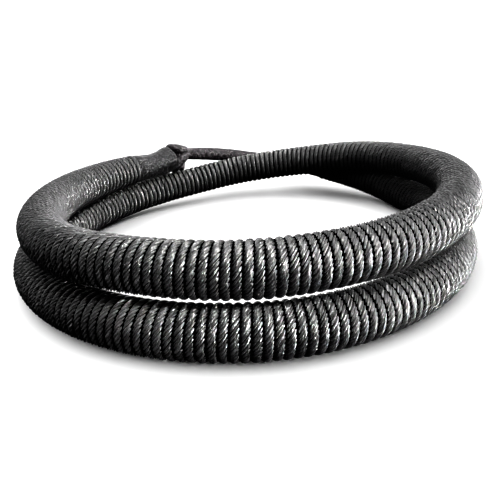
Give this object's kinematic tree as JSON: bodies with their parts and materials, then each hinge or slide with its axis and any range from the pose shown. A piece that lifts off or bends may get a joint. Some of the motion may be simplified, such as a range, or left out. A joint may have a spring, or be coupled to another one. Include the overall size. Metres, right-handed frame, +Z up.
{
  "type": "igal head cord",
  "caption": "Ring-shaped head cord: a thick rope wound with twisted black cord and coiled over itself, its ends tied at the back by a thin cord and a knot.",
  "frame": {"origin": "on the surface it lies on, under the middle of the whole object", "axes": "+Z up through the ring, -Y towards the ring's front, the tied ends at the back on +Y"},
  "size_m": [0.2242, 0.2369, 0.0432],
  "materials": {
    "winding": "tight winding of twisted black cord with a dull satin sheen",
    "sleeve": "plain dark cloth sleeve, matt",
    "tie": "thin plaited black cord, matt"
  },
  "bodies": {
    "root": {"wound_rope": "winding", "upper_neck": "sleeve", "lower_neck": "sleeve", "knot": "tie", "tie_cord": "tie"}
  },
  "joints": []
}
